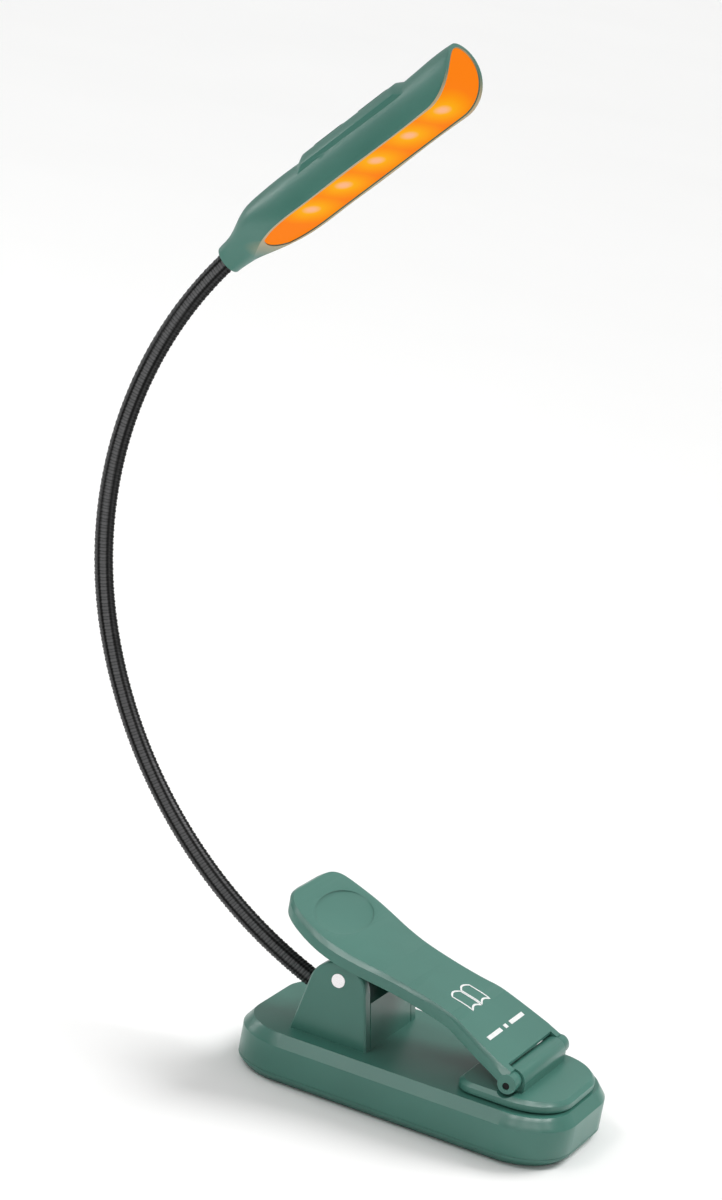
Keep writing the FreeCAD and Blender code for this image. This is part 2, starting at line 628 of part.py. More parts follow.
def neck_segments():
    """The neck's metal tube, in equal lengths of two arcs. The lengths meet at the
    flexing points, with a small gap at each."""
    half = NECK_SEGMENTS // 2
    for index in range(NECK_SEGMENTS):
        label = "neck_segment_%02d" % (index + 1)
        bend = neck_bends()[index // half]
        radius_cell = "$neck_upper_bend" if index >= half else "$neck_lower_bend"
        sweep = math.degrees((cell("neck_length") / NECK_SEGMENTS - cell("neck_gap")) / bend[2])
        first = cell("neck_length") / NECK_SEGMENTS * (index % half) + cell("neck_gap") / 2
        # a torus starts on the far side of its centre from the way its normal points
        turn = 270.0 - math.degrees(bend[1] - first / bend[2])
        tubes = []
        for part, radius in (("tube", "$neck_radius"), ("bore", "$neck_bore")):
            tube = doc.addObject("Part::Torus", "%s_%s" % (label, part))
            bind(tube, Radius1=radius_cell, Radius2=radius)
            tube.Angle3 = sweep
            tilt = FreeCAD.Rotation(FreeCAD.Vector(0, 1, 0), turn)
            flat = FreeCAD.Rotation(FreeCAD.Vector(1, 0, 0), -90)
            tube.Placement = FreeCAD.Placement(bend[3], tilt * flat)
            tubes.append(tube)
        node(boolean("Cut", label, tubes), label)


def sleeve(label, start, direction, length, outside, inside):
    """A plain metal sleeve on the neck's line."""
    tube = Part.makeCylinder(outside, length, start, direction)
    hole = Part.makeCylinder(inside, length + 2, start - direction, direction)
    feature(label, tube.cut(hole))


# ---------------------------------------------------------------- head

def head_placement():
    """Head axes: X along the head, Z to its back, at the collar's end."""
    end = neck_place(cell("neck_length"))[0]
    pitch = FreeCAD.Rotation(FreeCAD.Vector(0, 1, 0), -cell("head_pitch"))
    roll = FreeCAD.Rotation(FreeCAD.Vector(1, 0, 0), -cell("head_roll"))
    return FreeCAD.Placement(end, pitch * roll)


def head_section(along, shrink):
    """One cross-section of the head's tube, an ellipse: the height of its centre, and
    its half height and half width."""
    share = min(max(along / cell("head_taper"), 0.0), 1.0)
    ease = share * share * (3 - 2 * share)
    swell = math.sin(share * math.pi / 2) ** 2
    collar = cell("collar_radius")
    rise = ease * 1.75 if share < 0.5 else 1.0 - (1.0 - ease) * 0.25
    back = collar + (cell("head_back") - collar) * rise
    deep = 2 * (cell("head_back") + cell("head_face")) - cell("head_back")
    front = collar - 0.1 + (deep - collar) * swell ** 2.2
    half = collar + (cell("head_half_width") - collar) * ease ** 0.75
    return (back - front) / 2, (back + front) / 2 - shrink, half - shrink


def head_tube(shrink, start, end):
    """The head's tube, or the room a shrink inside it, lofted through its sections."""
    wires = []
    for along in (0, 3, 6, 9, 12, 15, 18, 22, 30, 42, 54, end):
        if along > start:
            wires.append(head_oval(along, shrink))
    return Part.makeLoft([head_oval(start, shrink)] + wires, True, False)


def head_oval(along, shrink):
    centre, height, half = head_section(along, shrink)
    return oval(FreeCAD.Vector(along, 0, centre), height, half)


def oval(middle, height, half):
    """An ellipse across the head, in two halves that meet at its back and its front."""
    back, side = FreeCAD.Vector(0, 0, height), FreeCAD.Vector(0, half, 0)
    if height >= half:
        ellipse, first = Part.Ellipse(middle + back, middle + side, middle), 0.0
    else:
        ellipse, first = Part.Ellipse(middle + side, middle - back, middle), -math.pi / 2
    halves = [Part.ArcOfEllipse(ellipse, turn, turn + math.pi) for turn in (first, first + math.pi)]
    return Part.Wire([half_arc.toShape() for half_arc in halves])


def head_room(shrink, start):
    """The room inside the head, which starts round by the collar."""
    radius = cell("mouth_radius") - shrink + cell("head_wall")
    centre = cell("mouth_start") + cell("mouth_radius")
    low, reach, past_tip = 5.0, 40.0, 72.0
    block = Part.makeBox(centre - low, reach, reach, FreeCAD.Vector(low, -reach / 2, -reach / 2))
    column = Part.makeCylinder(radius, reach, FreeCAD.Vector(centre, 0, -reach / 2))
    return head_tube(shrink, start, past_tip).cut(block.cut(column))


def head_side_cut(offset, start=-3.0):
    """All that lies behind the head's open face: flat along it, then scooped up over
    the tip. A positive offset keeps less."""
    length, face = cell("head_length"), cell("head_face")
    reach, rise = cell("scoop_length") - offset, cell("head_back") + face - offset
    corner = FreeCAD.Vector(length - cell("scoop_length"), -20, cell("head_back"))
    vec = FreeCAD.Vector
    ellipse = Part.Ellipse(corner - vec(0, 0, rise), corner + vec(reach, 0, 0), corner)
    arc = Part.ArcOfEllipse(ellipse, 0, math.pi / 2)
    first, last = arc.StartPoint, arc.EndPoint
    if first.z > last.z:
        first, last = last, first
    top = 12.0
    points = [last, vec(last.x, -20, top), vec(start, -20, top), vec(start, -20, first.z), first]
    edges = [Part.LineSegment(a, b).toShape() for a, b in zip(points[:-1], points[1:])]
    face = Part.Face(Part.Wire(Part.__sortEdges__(edges + [arc.toShape()])))
    return face.extrude(vec(0, 40, 0))


def head_pad():
    """The raised control panel along the head's back, with sloping ends."""
    start, end, rise = cell("pad_start"), cell("pad_end"), cell("pad_rise")
    face, back = cell("head_face"), cell("head_back")
    wires = []
    for along, lift in ((start - 0.8, -0.15), (start + 1.2, rise), (end - 1.2, rise), (end + 0.8, -0.15)):
        height = back + face + lift
        half = cell("head_half_width") + lift * 0.55
        wires.append(oval(FreeCAD.Vector(along, 0, -face), height, half))
    ridge = Part.makeLoft(wires, True, True)
    keep = Part.makeBox(end - start + 4, 12.4, 10, FreeCAD.Vector(start - 2, -6.2, 1.5))
    return ridge.common(keep)


def button_column(along, grow, low, high):
    """The rounded column that a button or its hole fills."""
    length, width, radius = 8.4 + 2 * grow, 4.8 + 2 * grow, 1.6 + grow
    plate = Part.makeBox(length, width, high - low, FreeCAD.Vector(along - length / 2, -width / 2, low))
    edges = [e for e in plate.Edges if e.BoundBox.ZMax - e.BoundBox.ZMin > high - low - 1e-4]
    return plate.makeFillet(radius, edges)


def head():
    """The head's shell, lens, boards, lights and buttons."""
    place = head_placement()
    wall = cell("head_wall")
    outer = head_tube(0.0, 0.0, 68.0).fuse(head_pad()).common(head_side_cut(0.0))
    shell = outer.cut(head_room(wall, 9.5))
    bore = Part.makeCylinder(2.38, 8.0, FreeCAD.Vector(-1, 0, 0), FreeCAD.Vector(1, 0, 0))
    wire_way = Part.makeCylinder(1.2, 8.0, FreeCAD.Vector(4, 0, 0), FreeCAD.Vector(1, 0, 0))
    holes = [button_column(along, 0.15, 3.0, 14.0) for along in BUTTONS.values()]
    shell = shell.cut([bore, wire_way] + holes)
    feature("head_shell", shell.removeSplitter(), place)

    inner_face = head_side_cut(0.3 + cell("lens_thickness"))
    lens = head_room(wall + 0.05, 9.6).common(head_side_cut(0.3)).cut(inner_face)
    feature("head_lens", biggest(lens), place)

    grown = head_ridge(0.12)
    for label, along in BUTTONS.items():
        column = button_column(along, 0.0, 4.6, 12.0).common(grown)
        flange = button_column(along, 0.5, 4.2, 4.9)
        feature(label, column.fuse(flange).removeSplitter(), place)
    switches = [Part.makeBox(3.2, 3.0, 0.9, FreeCAD.Vector(along - 1.6, -1.5, 2.75))
                for along in BUTTONS.values()]
    feature("tact_switches", Part.makeCompound(switches), place)

    for label, low, size in (("control_board", (27.0, -3.9, 1.95), (25.0, 7.8, 0.8)),
                             ("led_board", (18.5, -5.2, -0.75), (42.5, 10.4, 0.8))):
        board = doc.addObject("Part::Box", label)
        board.Length, board.Width, board.Height = size
        board.Placement = place * FreeCAD.Placement(FreeCAD.Vector(*low), FreeCAD.Rotation())
        node(board, label)
    lights = [Part.makeBox(2.8, 2.8, 0.65, FreeCAD.Vector(s - 1.4, -1.4, -1.4)) for s in LED_STATIONS]
    feature("leds", Part.makeCompound(lights), place)

    along = place.Rotation.multVec(FreeCAD.Vector(1, 0, 0))
    sleeve("head_ferrule", place.Base + along * 0.3, along, 6.5, 2.33, 1.3)


def head_ridge(lift):
    """The control panel's crown, raised by a little, which shapes the buttons' tops."""
    face, rise = cell("head_face"), cell("pad_rise") + lift
    wires = []
    for along in (cell("pad_start") - 4, cell("pad_end") + 4):
        middle = FreeCAD.Vector(along, 0, -face)
        wires.append(oval(middle, cell("head_back") + face + rise, cell("head_half_width") + rise * 0.55))
    return Part.makeLoft(wires, True, True)


def biggest(shape):
    return max(shape.Solids, key=lambda solid: solid.Volume)


def check_and_write():
    """Stop on any failed object or bad shape, then write each sub-part to its file."""
    doc.recompute()
    for obj in doc.Objects:
        if "Invalid" in obj.State or "Error" in obj.State:
            raise RuntimeError("%s failed: %s" % (obj.Label, obj.State))
    os.makedirs("parts", exist_ok=True)
    labels = [obj.Label for obj in nodes]
    if len(set(labels)) != len(labels):
        raise RuntimeError("two sub-parts share a name")
    for obj in nodes:
        shape = obj.Shape
        if shape.isNull() or not shape.isValid() or shape.Volume <= 0:
            raise RuntimeError("%s has a bad shape" % obj.Label)
        shape.exportStep("parts/%s.step" % obj.Label)
        print("%-18s %2d solid(s) %9.1f mm3" % (obj.Label, len(shape.Solids), shape.Volume))


base_cover()
foot_pad()
cover_screws()
base_shell()
usb_socket()
charge_board()
charge_light()
battery()
root_point, root_way = neck_place(0.0)
sleeve("base_ferrule", root_point - root_way * 7.0, root_way, 6.7, 2.6, 1.3)
pivot_pin()
lever()
jaw_pin()
clip_spring()
jaw_pad()
neck_segments()
head()
check_and_write()
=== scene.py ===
import bpy
import json
import math
from mathutils import Matrix, Vector
from mathutils.bvhtree import BVHTree


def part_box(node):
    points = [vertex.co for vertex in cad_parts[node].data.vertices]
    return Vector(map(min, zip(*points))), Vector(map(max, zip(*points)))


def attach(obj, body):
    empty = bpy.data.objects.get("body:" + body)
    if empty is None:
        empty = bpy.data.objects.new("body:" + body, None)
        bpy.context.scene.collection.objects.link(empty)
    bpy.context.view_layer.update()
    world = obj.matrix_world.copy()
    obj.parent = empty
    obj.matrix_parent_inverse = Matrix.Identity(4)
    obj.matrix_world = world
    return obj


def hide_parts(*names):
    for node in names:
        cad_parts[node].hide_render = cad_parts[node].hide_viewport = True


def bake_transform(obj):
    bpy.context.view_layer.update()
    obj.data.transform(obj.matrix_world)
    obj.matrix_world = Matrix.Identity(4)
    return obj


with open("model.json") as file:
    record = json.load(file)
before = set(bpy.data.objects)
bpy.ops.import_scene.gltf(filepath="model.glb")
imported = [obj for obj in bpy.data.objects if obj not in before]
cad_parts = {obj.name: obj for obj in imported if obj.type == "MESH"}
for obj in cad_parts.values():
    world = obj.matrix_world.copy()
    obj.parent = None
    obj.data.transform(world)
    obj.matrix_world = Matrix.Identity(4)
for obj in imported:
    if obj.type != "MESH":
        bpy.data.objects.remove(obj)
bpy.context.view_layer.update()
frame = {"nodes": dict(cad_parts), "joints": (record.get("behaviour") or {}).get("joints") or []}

MM = 0.001
NODES = frame["nodes"]
JOINTS = {joint["name"]: joint for joint in frame["joints"]}


# ------------------------------------------------------------------ camera and light

def stand(name, data):
    """A new object with this data, in the scene."""
    thing = bpy.data.objects.new(name, data)
    bpy.context.scene.collection.objects.link(thing)
    thing.rotation_mode = "QUATERNION"
    return thing


def set_camera():
    """The camera at the photograph's viewing angle, with its slight roll."""
    azimuth, elevation, roll = math.radians(21.96), math.radians(15.42), math.radians(10.54)
    target, distance = Vector((-32.7, 0.0, 99.72)) * MM, 741.21 * MM
    back = Vector((math.sin(azimuth) * math.cos(elevation),
                   -math.cos(azimuth) * math.cos(elevation), math.sin(elevation)))
    level = Vector((math.cos(azimuth), math.sin(azimuth), 0))
    upright = back.cross(level)
    right = level * math.cos(roll) + upright * math.sin(roll)
    up = upright * math.cos(roll) - level * math.sin(roll)
    data = bpy.data.cameras.new("camera")
    data.sensor_width, data.lens = 36.0, 108.47
    data.clip_start, data.clip_end = 0.01, 20.0
    camera = stand("camera", data)
    camera.matrix_world = Matrix.Translation(target + back * distance) @ Matrix(
        ((right.x, up.x, back.x), (right.y, up.y, back.y), (right.z, up.z, back.z))).to_4x4()
    bpy.context.scene.camera = camera


def area_light(name, place, aim, size, power):
    data = bpy.data.lights.new(name, "AREA")
    data.shape, data.size, data.size_y = "RECTANGLE", size[0], size[1]
    data.energy = power
    light = stand(name, data)
    light.location = place
    light.rotation_quaternion = (Vector(place) - Vector(aim)).to_track_quat("Z", "Y")
    return light


def grey_ramp(tree, value, stops):
    """A grey for each value, from (value, grey) stops."""
    new = tree.nodes.new("ShaderNodeValToRGB")
    tree.links.new(value, new.inputs["Fac"])
    for index, (place, grey) in enumerate(stops):
        stop = new.color_ramp.elements[index] if index < 2 else new.color_ramp.elements.new(place)
        stop.position, stop.color = place, (grey, grey, grey, 1.0)
    return new.outputs["Color"]


def set_sky():
    """A soft sky that is bright in front and behind, and dark in a belt between."""
    world = bpy.data.worlds.new("studio")
    bpy.context.scene.world = world
    world.use_nodes = True
    tree = world.node_tree
    way = tree.nodes.new("ShaderNodeTexCoord").outputs["Generated"]
    height = tree.nodes.new("ShaderNodeSeparateXYZ")
    tree.links.new(way, height.inputs[0])
    front = tree.nodes.new("ShaderNodeVectorMath")
    front.operation = "DOT_PRODUCT"
    front.inputs[1].default_value = (0.37, -0.93, 0.0)
    tree.links.new(way, front.inputs[0])
    sky = grey_ramp(tree, height.outputs["Z"], ((0.05, 0.38), (0.9, 0.76)))
    flanks = grey_ramp(tree, front.outputs["Value"], ((0.10, 1.0), (0.28, 0.10), (0.66, 0.10), (0.78, 1.6)))
    both = tree.nodes.new("ShaderNodeMix")
    both.data_type, both.blend_type = "RGBA", "MULTIPLY"
    both.inputs["Factor"].default_value = 1.0
    tree.links.new(sky, both.inputs["A"])
    tree.links.new(flanks, both.inputs["B"])
    tree.links.new(both.outputs["Result"], tree.nodes["Background"].inputs["Color"])
    bpy.context.scene.view_settings.view_transform = "Standard"


def set_lights():
    """A wide sun from behind that gives no gloss, three soft panels, and five strips
    that show only as gloss on the base's corners."""
    data = bpy.data.lights.new("sun", "SUN")
    data.energy, data.angle = 2.25, math.radians(30)
    sun = stand("sun", data)
    sun.visible_glossy = False
    sun.rotation_quaternion = Vector((0.30, 0.62, 0.64)).to_track_quat("Z", "Y")
    aim = (-0.02, 0.0, 0.06)
    area_light("top_panel", (-0.36, -0.50, 0.80), aim, (0.34, 0.34), 1.9)
    area_light("left_panel", (-0.95, 0.10, 0.42), (-0.05, 0.0, 0.19), (0.12, 0.30), 0.9)
    area_light("right_strip", (0.75, -0.35, 0.3), aim, (0.05, 0.5), 0.25)
    for number, place in enumerate(((0.05, -0.48, 0.76), (0.33, -0.36, 0.75), (0.50, -0.20, 0.71),
                                    (0.62, 0.04, 0.64), (0.22, -0.16, 0.86))):
        strip = area_light("corner_strip_%d" % number, place, (0.03, 0, 0.01), (0.012, 0.09), 1.3)
        strip.visible_diffuse = False


def set_floor():
    """A plain pale paper floor, wide enough to fill the view."""
    mesh = bpy.data.meshes.new("floor")
    reach = 4.0
    mesh.from_pydata([(-reach, -reach, 0), (reach, -reach, 0), (reach, reach, 0), (-reach, reach, 0)],
                     [], [(0, 1, 2, 3)])
    floor = stand("floor", mesh)
    tree = new_shader("floor_paper")
    tree.set(Roughness=0.9)
    tree.inputs["Specular IOR Level"].default_value = 0.1
    noise = tree.noise(scale=6.0, detail=2.0)
    tree.link(tree.ramp(noise, ((0.0, (0.93, 0.93, 0.925, 1)), (1.0, (0.96, 0.96, 0.955, 1)))), "Base Color")
    floor.data.materials.append(tree.material)


# ------------------------------------------------------------------ materials

class Shader:
    """A material's principled shader, and short ways to add to it."""

    def __init__(self, material):
        self.material, self.tree = material, material.node_tree
        self.inputs = self.tree.nodes["Principled BSDF"].inputs
        self.coordinates = self.tree.nodes.new("ShaderNodeTexCoord").outputs
        self.place = self.coordinates["Object"]

    def set(self, **values):
        for name, value in values.items():
            self.inputs[name.replace("_", " ")].default_value = value

    def link(self, output, name):
        self.tree.links.new(output, self.inputs[name])

    def node(self, kind, **inputs):
        new = self.tree.nodes.new(kind)
        for name, value in inputs.items():
            socket = new.inputs[name.replace("_", " ")]
            if isinstance(value, bpy.types.NodeSocket):
                self.tree.links.new(value, socket)
            else:
                socket.default_value = value
        return new

    def noise(self, scale, detail=3.0, place=None):
        return self.node("ShaderNodeTexNoise", Vector=place or self.place, Scale=scale,
                         Detail=detail).outputs["Fac"]

    def ramp(self, value, stops):
        new = self.node("ShaderNodeValToRGB", Fac=value)
        ramp = new.color_ramp
        for index, (position, colour) in enumerate(stops):
            stop = ramp.elements[index] if index < 2 else ramp.elements.new(position)
            stop.position, stop.color = position, colour
        return new.outputs["Color"]

    def math(self, operation, a, b=None, clamp=False):
        new = self.tree.nodes.new("ShaderNodeMath")
        new.operation, new.use_clamp = operation, clamp
        for socket, value in zip(new.inputs, (a, b)):
            if isinstance(value, bpy.types.NodeSocket):
                self.tree.links.new(value, socket)
            elif value is not None:
                socket.default_value = value
        return new.outputs["Value"]

    def vector(self, operation, a, b):
        new = self.tree.nodes.new("ShaderNodeVectorMath")
        new.operation = operation
        second = "Scale" if operation == "SCALE" else 1
        for name, value in ((0, a), (second, b)):
            if isinstance(value, bpy.types.NodeSocket):
                self.tree.links.new(value, new.inputs[name])
            else:
                new.inputs[name].default_value = value
        return new.outputs["Value" if operation in ("DOT_PRODUCT", "DISTANCE") else "Vector"]

    def rough(self, value, low, high):
        new = self.node("ShaderNodeMapRange", Value=value)
        new.inputs["To Min"].default_value, new.inputs["To Max"].default_value = low, high
        self.link(new.outputs["Result"], "Roughness")

    def bump(self, height, depth, strength):
        new = self.node("ShaderNodeBump", Height=height, Distance=depth, Strength=strength)
        self.link(new.outputs["Normal"], "Normal")


def new_shader(name):
    material = bpy.data.materials.new(name)
    material.use_nodes = True
    return Shader(material)


def shade(colour, factor):
    """A colour made lighter or darker, with full opacity."""
    return tuple(min(1.0, part * factor) for part in colour) + (1.0,)


def plastic(name, colour, roughness):
    """Moulded plastic: a fine spark-eroded grain, faint flow marks and a soft sheen."""
    tree = new_shader(name)
    flow = tree.noise(scale=45.0, detail=2.0)
    tree.link(tree.ramp(flow, ((0.3, shade(colour, 0.94)), (0.7, shade(colour, 1.05)))), "Base Color")
    tree.rough(tree.noise(scale=160.0), roughness - 0.03, roughness + 0.05)
    tree.bump(tree.noise(scale=2600.0, detail=2.0), 0.02 * MM, 0.25)
    return tree.material


def metal(name, colour, roughness):
    """Turned or drawn metal, with fine lines set close along its own Z."""
    tree = new_shader(name)
    tree.set(Metallic=1.0)
    stretch = tree.node("ShaderNodeMapping", Vector=tree.place)
    stretch.inputs["Scale"].default_value = (1.0, 1.0, 30.0)
    lines = tree.noise(scale=900.0, detail=4.0, place=stretch.outputs["Vector"])
    tree.link(tree.ramp(lines, ((0.25, shade(colour, 0.85)), (0.75, shade(colour, 1.08)))), "Base Color")
    tree.rough(lines, roughness - 0.06, roughness + 0.08)
    tree.bump(lines, 0.01 * MM, 0.2)
    return tree.material


def rubber(name, colour):
    """Matt moulded rubber with a cloudy bloom."""
    tree = new_shader(name)
    cloud = tree.noise(scale=300.0)
    tree.link(tree.ramp(cloud, ((0.3, shade(colour, 0.8)), (0.7, shade(colour, 1.25)))), "Base Color")
    tree.rough(cloud, 0.72, 0.88)
    tree.bump(tree.noise(scale=4200.0), 0.03 * MM, 0.4)
    return tree.material


def coil_black():
    """The gooseneck's blacked wire. Its pieces' own sheen values paint grey bands on it: painted reflections
    and a painted glint, not the wire's colour.
    """
    tree = new_shader("coil_black")
    sheen = tree.tree.nodes.new("ShaderNodeAttribute")
    sheen.attribute_name = "sheen"
    cloud = tree.noise(scale=700.0)
    level = tree.math("MULTIPLY", sheen.outputs["Fac"],
                      tree.math("ADD", tree.math("MULTIPLY", cloud, 0.3), 0.85))
    tree.link(tree.ramp(level, ((0.0, (0.004, 0.004, 0.004, 1)), (1.0, (0.50, 0.50, 0.51, 1)))), "Base Color")
    tree.rough(cloud, 0.34, 0.44)
    tree.set(IOR=1.18)
    tree.bump(tree.noise(scale=3000.0), 0.01 * MM, 0.15)
    return tree.material


def circuit(name, colour):
    """A solder-masked board, with faint tracks under the mask."""
    tree = new_shader(name)
    cells = tree.node("ShaderNodeTexBrick", Vector=tree.place, Scale=420.0)
    cells.inputs["Color1"].default_value = shade(colour, 1.0)
    cells.inputs["Color2"].default_value = shade(colour, 0.85)
    cells.inputs["Mortar"].default_value = shade(colour, 1.35)
    tree.link(cells.outputs["Color"], "Base Color")
    tree.rough(tree.noise(scale=500.0), 0.25, 0.4)
    return tree.material


def foil():
    """A pouch cell's creased foil."""
    tree = new_shader("pouch_foil")
    creases = tree.noise(scale=120.0, detail=5.0)
    tree.link(tree.ramp(creases, ((0.3, (0.52, 0.53, 0.55, 1)), (0.7, (0.68, 0.69, 0.71, 1)))), "Base Color")
    tree.set(Metallic=1.0)
    tree.rough(creases, 0.3, 0.45)
    tree.bump(creases, 0.2 * MM, 0.4)
    return tree.material


def printed_white():
    """White ink, a little uneven."""
    tree = new_shader("printed_white")
    cloud = tree.noise(scale=800.0)
    tree.link(tree.ramp(cloud, ((0.2, (0.78, 0.80, 0.79, 1)), (0.8, (0.90, 0.91, 0.90, 1)))), "Base Color")
    tree.rough(cloud, 0.5, 0.65)
    return tree.material


def light_pipe():
    """The clear plastic pipe beside the charging socket, seen as a milky white."""
    tree = new_shader("light_pipe")
    cloud = tree.noise(scale=500.0)
    tree.link(tree.ramp(cloud, ((0.2, (0.80, 0.80, 0.78, 1)), (0.8, (0.90, 0.90, 0.88, 1)))), "Base Color")
    tree.rough(cloud, 0.15, 0.25)
    return tree.material


def lit_amber(lights, across):
    """The lit diffuser: deep orange, with a yellow halo and a pale core at each light.
    The spots are drawn out across the head, as they look through its thickness."""
    tree = new_shader("lit_amber")
    squeeze, halo_reach, core_reach = 0.55, 5.2 * MM, 1.5 * MM
    side = tree.vector("DOT_PRODUCT", tree.place, across)
    place = tree.vector("SUBTRACT", tree.place, tree.vector("SCALE", across * squeeze, side))
    halo, core = 0.0, 0.0
    for light in lights:
        far = tree.vector("DISTANCE", place, light - across * squeeze * light.dot(across))
        near_halo = tree.math("SUBTRACT", 1.0, tree.math("DIVIDE", far, halo_reach), clamp=True)
        near_core = tree.math("SUBTRACT", 1.0, tree.math("DIVIDE", far, core_reach), clamp=True)
        halo = tree.math("MAXIMUM", halo, near_halo)
        core = tree.math("MAXIMUM", core, near_core)
    grain = tree.noise(scale=260.0)
    halo = tree.math("MULTIPLY", halo, tree.math("ADD", tree.math("MULTIPLY", grain, 0.12), 0.94))
    base = tree.ramp(halo, ((0.0, (0.96, 0.215, 0.006, 1)), (0.35, (0.96, 0.30, 0.003, 1)),
                            (0.8, (0.96, 0.44, 0.005, 1))))
    mix = tree.tree.nodes.new("ShaderNodeMix")
    mix.data_type = "RGBA"
    tree.tree.links.new(tree.math("MULTIPLY", core, 1.6, clamp=True), mix.inputs["Factor"])
    tree.tree.links.new(base, mix.inputs["A"])
    mix.inputs["B"].default_value = (0.96, 0.47, 0.24, 1)
    tree.link(mix.outputs["Result"], "Emission Color")
    tree.set(Emission_Strength=1.0, Roughness=0.4, IOR=1.04)
    tree.inputs["Base Color"].default_value = (0.02, 0.006, 0.001, 1)
    return tree.material


def painted_lens_glow(material, start, along, inward):
    """Paint the lens's light onto the faces round it that look the same way: the shell emits a warm painted
    glow there.
    """
    tree = Shader(material)
    glow = 0.32
    for name, way, low, high in (("Normal", inward, 0.45, 0.85),
                                 ("Object", along, start + 6 * MM, start + 12 * MM)):
        span = tree.node("ShaderNodeMapRange", Value=tree.vector("DOT_PRODUCT", tree.coordinates[name], way))
        span.inputs["From Min"].default_value, span.inputs["From Max"].default_value = low, high
        glow = tree.math("MULTIPLY", span.outputs["Result"], glow)
    # Painted light: this glow is emitted by the shell itself, near the lens and where it faces the lens's
    # way.
    tree.link(glow, "Emission Strength")
    tree.inputs["Emission Color"].default_value = (0.95, 0.36, 0.06, 1)
    return material


# ------------------------------------------------------------------ meshes

def add_mesh(name, vertices, faces, material, smooth=True):
    mesh = bpy.data.meshes.new(name)
    mesh.from_pydata([tuple(vertex) for vertex in vertices], [], faces)
    mesh.validate()
    if smooth:
        mesh.shade_smooth()
    mesh.materials.append(material)
    return stand(name, mesh)


def ring_faces(rings, sides):
    """Quads between rings of the same number of sides, one after another."""
    faces = []
    for ring in range(rings - 1):
        for side in range(sides):
            a, b = ring * sides + side, ring * sides + (side + 1) % sides
            faces.append((a, b, b + sides, a + sides))
    return faces


def wire_piece(name, points, radius, material, sides=14):
    """A round wire along points, with rounded ends."""
    vertices, frame_side = [], None
    last = len(points) - 1
    rows = [(0, 0.05, -1), (0, 0.7, -1)] + [(index, 1.0, 0) for index in range(last + 1)]
    rows += [(last, 0.7, 1), (last, 0.05, 1)]
    for index, scale, end in rows:
        here = Vector(points[index])
        ahead = Vector(points[min(index + 1, last)]) - Vector(points[max(index - 1, 0)])
        ahead.normalize()
        shift = end * radius * math.sqrt(1 - scale * scale)
        if frame_side is None:
            frame_side = ahead.orthogonal().normalized()
        frame_side = (frame_side - ahead * frame_side.dot(ahead)).normalized()
        other = ahead.cross(frame_side)
        for side in range(sides):
            turn = 2 * math.pi * side / sides
            vertices.append(here + ahead * shift
                            + (frame_side * math.cos(turn) + other * math.sin(turn)) * radius * scale)
    return add_mesh(name, vertices, ring_faces(len(rows), sides), material)


# ------------------------------------------------------------------ gooseneck

NECK_JOINTS = [joint for joint in frame["joints"] if joint["name"].startswith("neck_")]
NECK_POINTS = [Vector(joint["pos_m"]) for joint in NECK_JOINTS]


class NeckArc:
    """The circle in the XZ plane through three of the neck's joints."""

    def __init__(self, first, middle, last):
        a, b, c = ((p.x, p.z) for p in (first, middle, last))
        d = 2 * (a[0] * (b[1] - c[1]) + b[0] * (c[1] - a[1]) + c[0] * (a[1] - b[1]))
        squares = [p[0] ** 2 + p[1] ** 2 for p in (a, b, c)]
        x = (squares[0] * (b[1] - c[1]) + squares[1] * (c[1] - a[1]) + squares[2] * (a[1] - b[1])) / d
        z = (squares[0] * (c[0] - b[0]) + squares[1] * (a[0] - c[0]) + squares[2] * (b[0] - a[0])) / d
        self.centre = Vector((x, 0, z))
        self.radius = (first - self.centre).length
        self.start = math.atan2(first.z - z, first.x - x)
        end = math.atan2(last.z - z, last.x - x)
        self.sweep = (end - self.start + math.pi) % (2 * math.pi) - math.pi

    def at(self, share):
        """A point, the way the neck runs there, and the way out from the centre."""
        angle = self.start + self.sweep * share
        out = Vector((math.cos(angle), 0, math.sin(angle)))
        way = Vector((-out.z, 0, out.x)) * math.copysign(1.0, self.sweep)
        return self.centre + out * self.radius, way, out


HALF = len(NECK_POINTS) // 2
LOWER_ARC = NeckArc(NECK_POINTS[0], NECK_POINTS[HALF // 2], NECK_POINTS[HALF])
UPPER_ARC = NeckArc(NECK_POINTS[HALF], NECK_POINTS[HALF + HALF // 2], NECK_POINTS[2 * HALF])


def neck_at(station):
    """The neck's line at a station: whole numbers are its joints, from the base up."""
    if station <= HALF:
        point, way, out = LOWER_ARC.at(max(station, 0.0) / HALF)
    else:
        point, way, out = UPPER_ARC.at(min(station - HALF, HALF) / HALF)
    past = min(station, 0.0) + max(station - 2 * HALF, 0.0)
    step = LOWER_ARC.radius * abs(LOWER_ARC.sweep) / HALF
    return point + way * past * step, way, out


RIB_DEPTH = 0.27
NECK_RADIUS = (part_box("neck_segment_07")[1].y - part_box("neck_segment_07")[0].y) / 2


def rib_drop(phase):
    """How far the neck's surface lies under its crest, in mm: a wide round wire, then
    the narrower crest of the wedge wire between its turns."""
    phase %= 1.0
    wire = 0.56
    if phase < wire:
        across, crest = abs(phase / wire * 2 - 1), 0.0
    else:
        across, crest = abs((phase - wire) / (1 - wire) * 2 - 1), 0.06
    return crest + (RIB_DEPTH - crest) * across ** 3.2


# The neck's grey bands are painted, not reflected. FRONT_WAY points at the photograph's
# viewpoint, and SHEEN is how light the neck is across it as seen from there, from its
# left flank, -1, to its right, 1. The bands stay put when the view or the light moves.
FRONT_WAY = Vector((0.36, -0.90, 0.27))
SHEEN = ((-1.0, 0.16), (-0.68, 0.15), (-0.60, 0.0), (-0.42, 0.0), (-0.34, 0.22), (0.20, 0.25), (0.28, 0.02),
         (0.50, 0.0), (0.58, 0.10), (0.70, 0.08), (0.80, 0.0), (1.0, 0.0))


